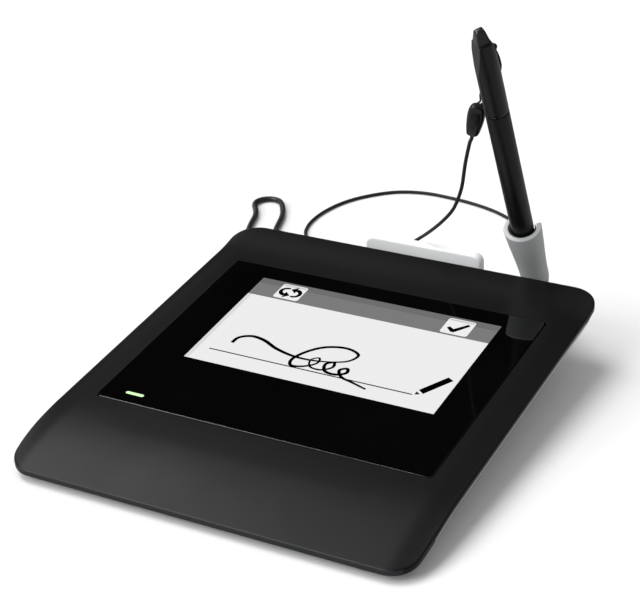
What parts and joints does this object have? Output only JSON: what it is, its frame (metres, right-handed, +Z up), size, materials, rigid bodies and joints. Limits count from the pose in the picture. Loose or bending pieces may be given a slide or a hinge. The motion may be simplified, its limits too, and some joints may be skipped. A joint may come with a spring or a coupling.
{
  "type": "signature pad",
  "caption": "Low sloping signature pad with a flush black cover glass over a colour display, a rear bracket with an open-backed pen holder, a tethered stylus and a signal cable",
  "frame": {"origin": "on the table under the middle of the pad with its bracket, cords left out", "axes": "+X to the writer's right, +Y away from the writer, +Z up"},
  "size_m": [0.2082, 0.3061, 0.1498],
  "materials": {
    "charcoal": "fine satin charcoal",
    "pale_grey": "satin light grey",
    "black_glass": "polished, black from behind",
    "display_panel": "smooth",
    "white_sheet": "diffusing",
    "board_green": "satin",
    "sheet_metal": "bright sheet",
    "screw_steel": "plain",
    "chip_black": "satin",
    "flex_amber": "satin",
    "light_green": "clear, lit",
    "black_rubber": "matt",
    "pen_black": "satin black",
    "gloss_black": "gloss",
    "cord_black": "matt",
    "ferrite": "matt",
    "copper": "bright wire"
  },
  "bodies": {
    "pad": {"top_shell": "charcoal", "cover_glass": "black_glass", "lcd_panel": "display_panel", "backlight_panel": "white_sheet", "lcd_frame": "sheet_metal", "sensor_board": "board_green", "shield_plate": "sheet_metal", "display_flex": "flex_amber", "light_pipe": "light_green", "status_led": "light_green", "led_board": "board_green", "bottom_shell": "pale_grey", "main_board": "board_green", "processor_can": "sheet_metal", "cable_socket": "chip_black", "rear_bracket": "pale_grey", "pen_holder": "pale_grey", "holder_liner": "black_rubber", "holder_base": "pale_grey", "holder_screw": "screw_steel", "tether_anchor": "black_rubber", "cable_gland": "black_rubber", "usb_cable": "cord_black", "usb_coil": "cord_black", "usb_cable_tail": "cord_black", "usb_plug_grip": "black_rubber", "usb_plug_shell": "sheet_metal", "coil_tie": "black_rubber", "tether_cord": "cord_black", "rubber_foot_front_left": "black_rubber", "case_screw_front_left": "screw_steel", "board_screw_front_left": "screw_steel", "rubber_foot_front_right": "black_rubber", "case_screw_front_right": "screw_steel", "board_screw_front_right": "screw_steel", "rubber_foot_rear_left": "black_rubber", "case_screw_rear_left": "screw_steel", "board_screw_rear_left": "screw_steel", "rubber_foot_rear_right": "black_rubber", "case_screw_rear_right": "screw_steel", "board_screw_rear_right": "screw_steel", "bracket_screw_left": "screw_steel", "bracket_screw_right": "screw_steel"},
    "stylus": {"pen_lower_barrel": "pen_black", "pen_upper_barrel": "pen_black", "pen_tip_cone": "pen_black", "pen_seam_ring": "gloss_black", "pen_tail": "gloss_black", "pressure_cell": "sheet_metal", "coil_core": "ferrite", "coil_winding": "copper", "pen_board": "board_green", "tether_bead": "gloss_black", "tether_loop": "cord_black"},
    "nib": {"pen_nib": "pen_black"}
  },
  "joints": [
    {"name": "pen_slide", "type": "slide", "parent": "pad", "child": "stylus", "axis": [0, -0.4368, 0.8996], "range_m": [0, 0.045]},
    {"name": "nib_slide", "type": "slide", "parent": "stylus", "child": "nib", "axis": [0, -0.4368, 0.8996], "range_m": [0, 0.0008], "stiffness_N_per_m": 400, "springref_m": -0.0003}
  ]
}
